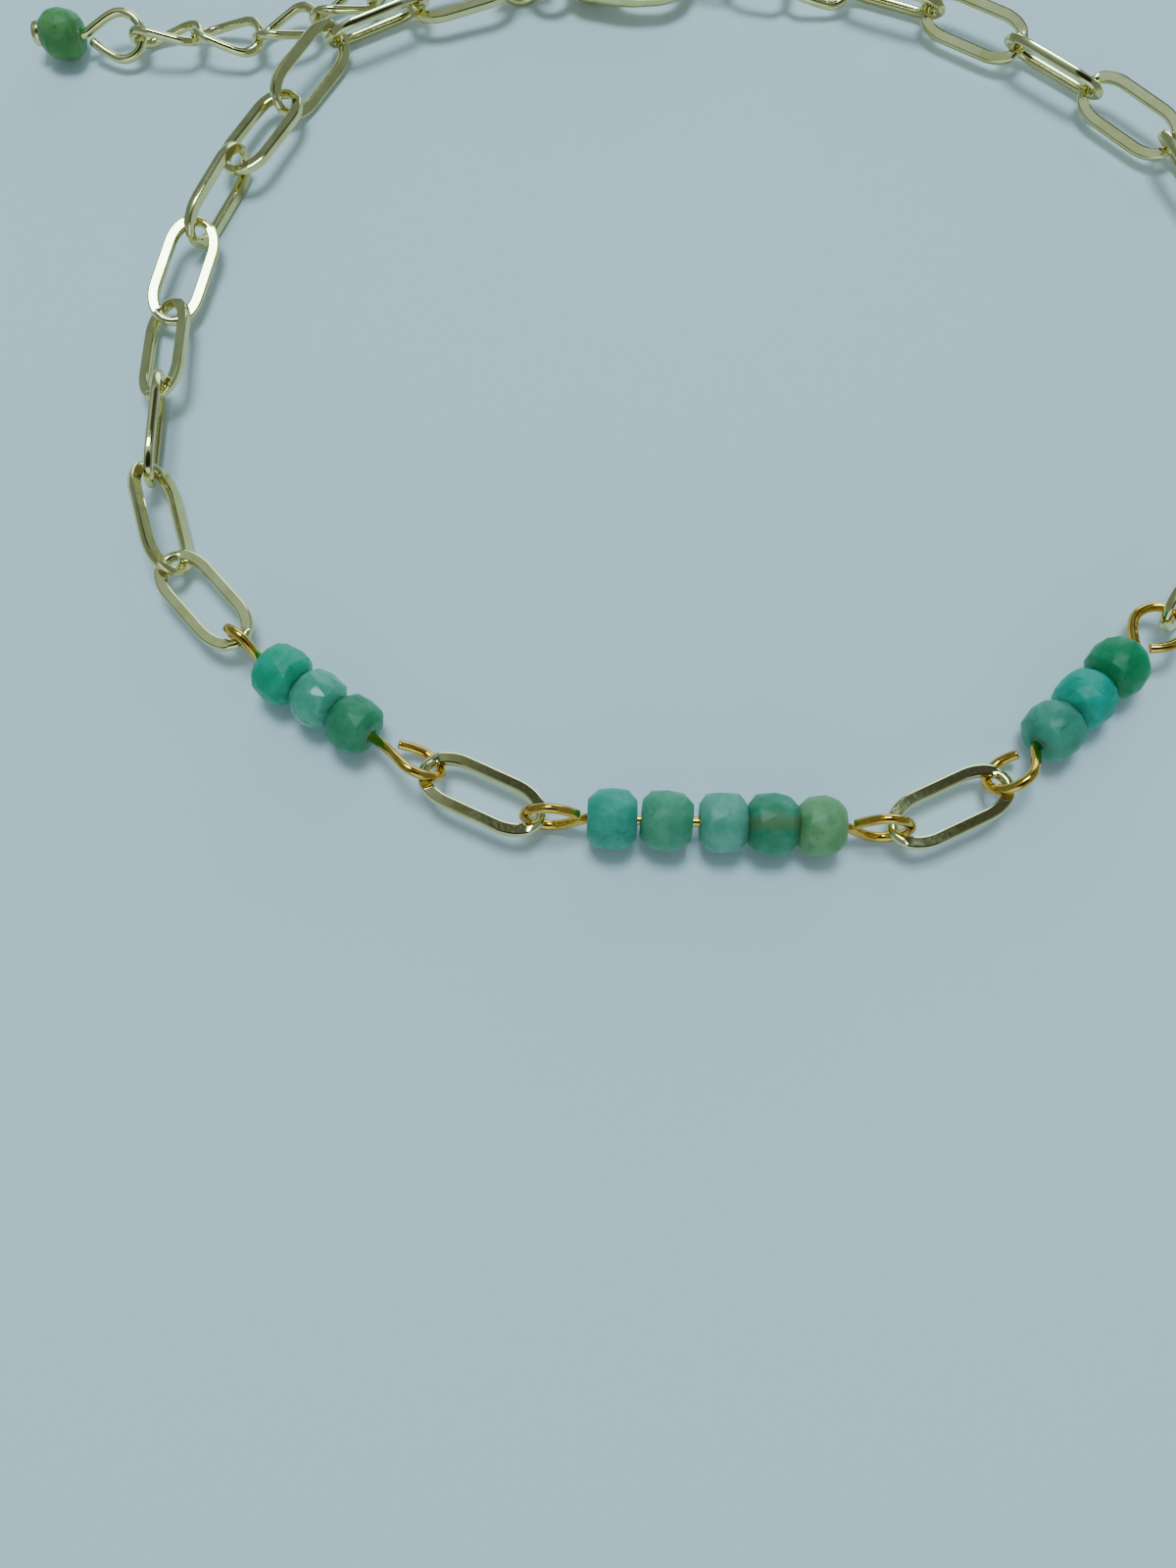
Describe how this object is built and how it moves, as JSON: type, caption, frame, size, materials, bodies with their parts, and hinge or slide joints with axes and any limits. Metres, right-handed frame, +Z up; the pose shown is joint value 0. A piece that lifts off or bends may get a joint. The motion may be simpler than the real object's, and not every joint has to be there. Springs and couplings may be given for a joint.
{
  "type": "beaded paperclip chain bracelet",
  "caption": "Fine gold paperclip chain bracelet laid in a loop, with three stations of faceted green beads on wire pins, a plain closed clasp and an extender tail with a bead drop.",
  "frame": {"origin": "centre of the bounding box, on the surface it lies on", "axes": "+Z up from the surface; +X along the loop's longer way; -Y towards the centre bead station"},
  "size_m": [0.0694, 0.0578, 0.0035],
  "materials": {
    "gold_chain": "polished pale gold plate",
    "gold_wire": "polished warm gold-filled wire",
    "left_bead_3": "translucent faceted green stone",
    "left_bead_2": "translucent faceted green stone",
    "left_bead_1": "translucent faceted green stone",
    "right_bead_1": "translucent faceted green stone",
    "right_bead_2": "translucent faceted green stone",
    "right_bead_3": "translucent faceted green stone",
    "centre_bead_1": "translucent faceted green stone",
    "centre_bead_2": "translucent faceted green stone",
    "centre_bead_3": "translucent faceted green stone",
    "centre_bead_4": "translucent faceted green stone",
    "centre_bead_5": "translucent faceted green stone",
    "drop_bead": "translucent faceted green stone"
  },
  "bodies": {
    "root": {"spacer_link_left": "gold_chain", "left_pin": "gold_wire", "left_bead_3": "left_bead_3", "left_bead_2": "left_bead_2", "left_bead_1": "left_bead_1", "left_link_01": "gold_chain", "left_link_02": "gold_chain", "left_link_03": "gold_chain", "left_link_04": "gold_chain", "left_link_05": "gold_chain", "left_link_06": "gold_chain", "left_link_07": "gold_chain", "left_link_08": "gold_chain", "left_link_09": "gold_chain", "left_link_10": "gold_chain", "jump_ring": "gold_chain", "clasp": "gold_chain", "spacer_link_right": "gold_chain", "right_pin": "gold_wire", "right_bead_1": "right_bead_1", "right_bead_2": "right_bead_2", "right_bead_3": "right_bead_3", "right_link_01": "gold_chain", "right_link_02": "gold_chain", "right_link_03": "gold_chain", "right_link_04": "gold_chain", "right_link_05": "gold_chain", "right_link_06": "gold_chain", "right_link_07": "gold_chain", "right_link_08": "gold_chain", "right_link_09": "gold_chain", "right_link_10": "gold_chain", "centre_pin": "gold_wire", "centre_bead_1": "centre_bead_1", "centre_bead_2": "centre_bead_2", "centre_bead_3": "centre_bead_3", "centre_bead_4": "centre_bead_4", "centre_bead_5": "centre_bead_5", "extender_chain": "gold_chain", "drop_pin": "gold_wire", "drop_bead": "drop_bead"}
  },
  "joints": []
}
